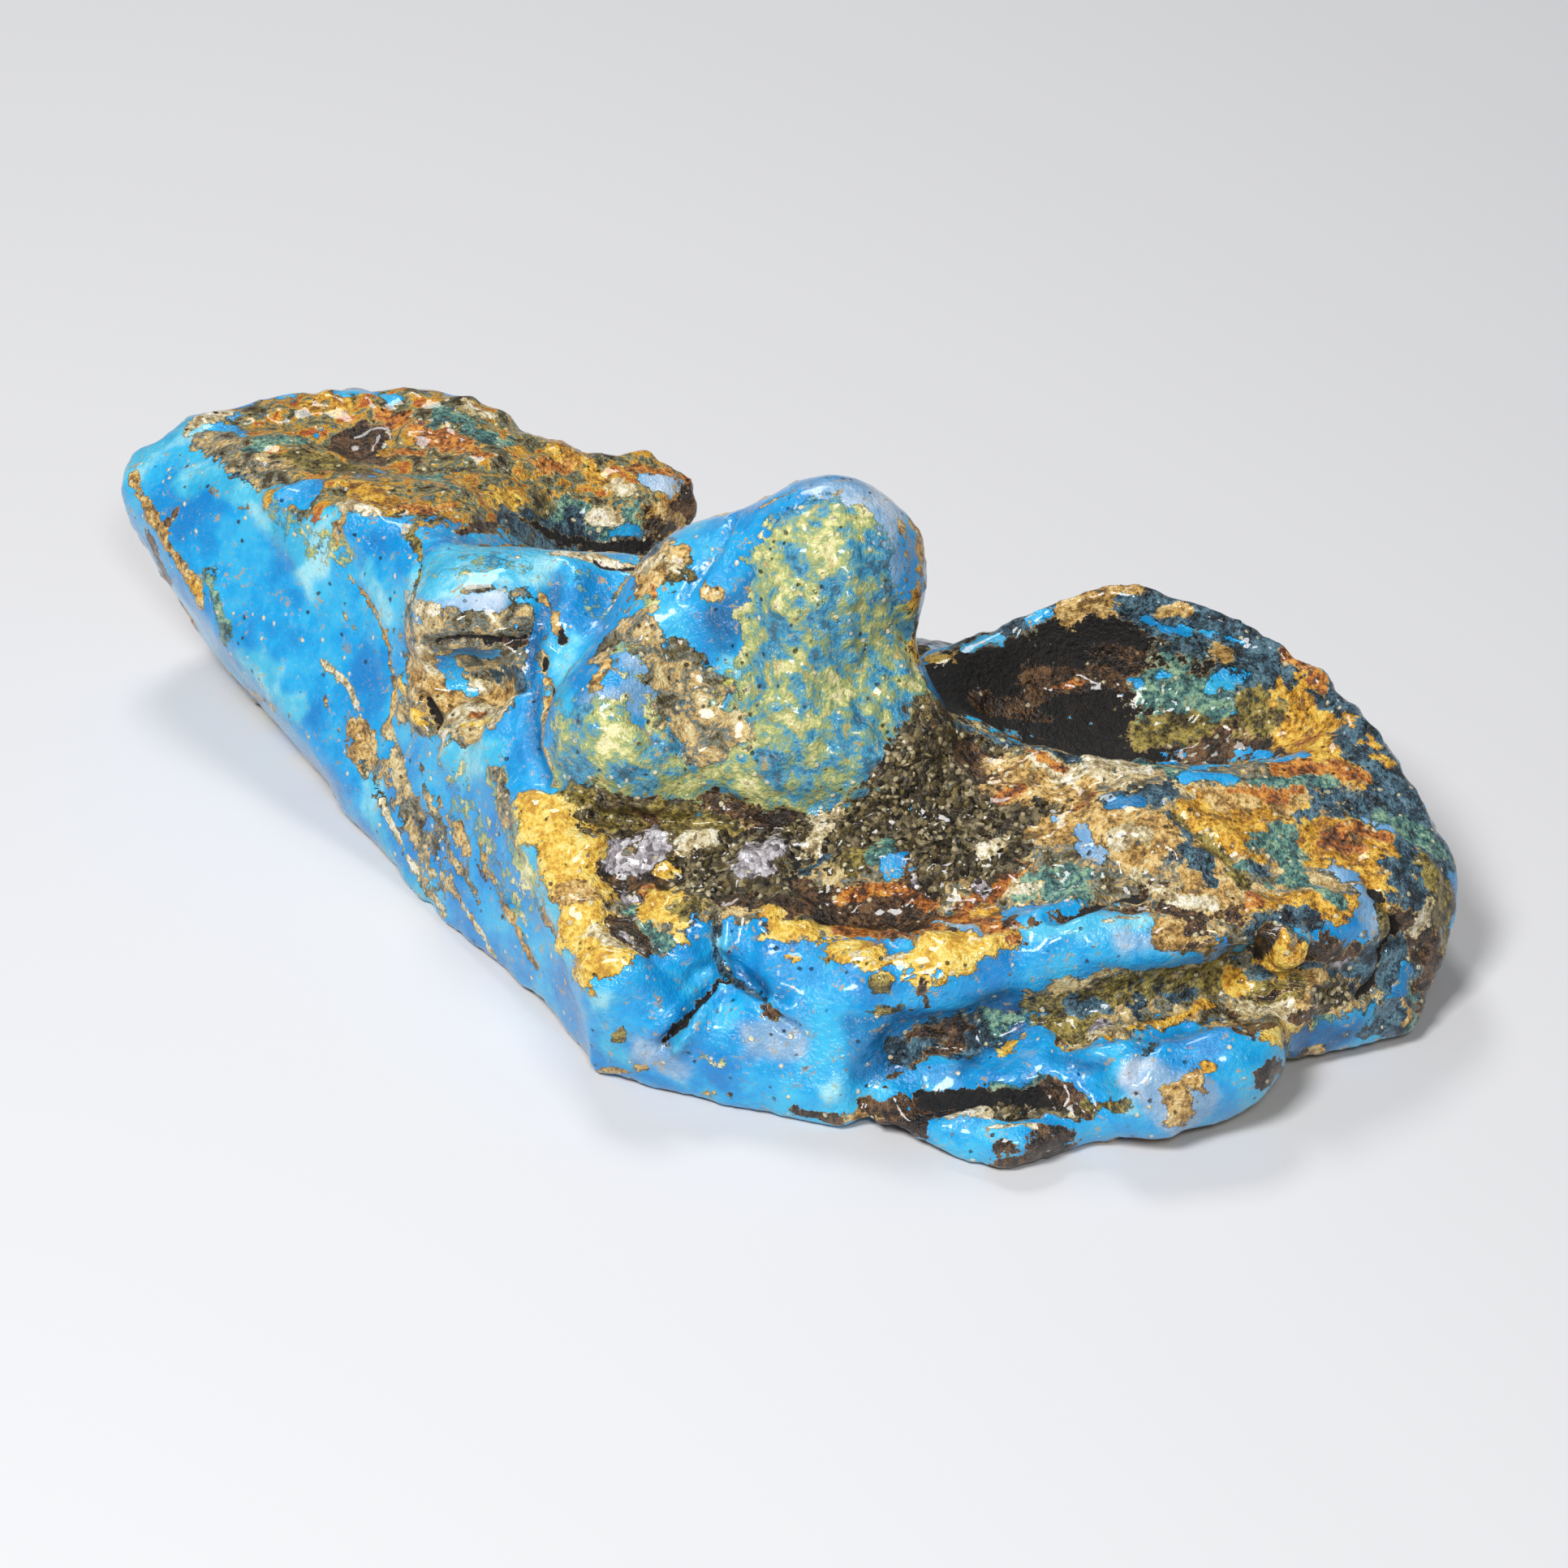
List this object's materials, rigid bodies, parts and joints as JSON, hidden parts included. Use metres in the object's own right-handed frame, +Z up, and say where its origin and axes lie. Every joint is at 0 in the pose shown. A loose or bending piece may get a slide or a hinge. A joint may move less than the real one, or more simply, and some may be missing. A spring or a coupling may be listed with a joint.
{
  "type": "rough amber",
  "caption": "Uncut lump of blue amber with a raised knob, a long wing, a hollow behind its front shelf, and an ochre crust; rests on its flat underside.",
  "frame": {"origin": "middle of the bounding box's underside, on the surface that the lump rests on", "axes": "+X to the right along the lump's length, +Y to the back, away from the front shelf, +Z up"},
  "size_m": [0.0848, 0.0644, 0.0291],
  "materials": {
    "amber": "wet-looking glossy blue resin skin under patches of ochre, olive, rust and dark brown crust"
  },
  "bodies": {
    "root": {"amber": "amber"}
  },
  "joints": []
}
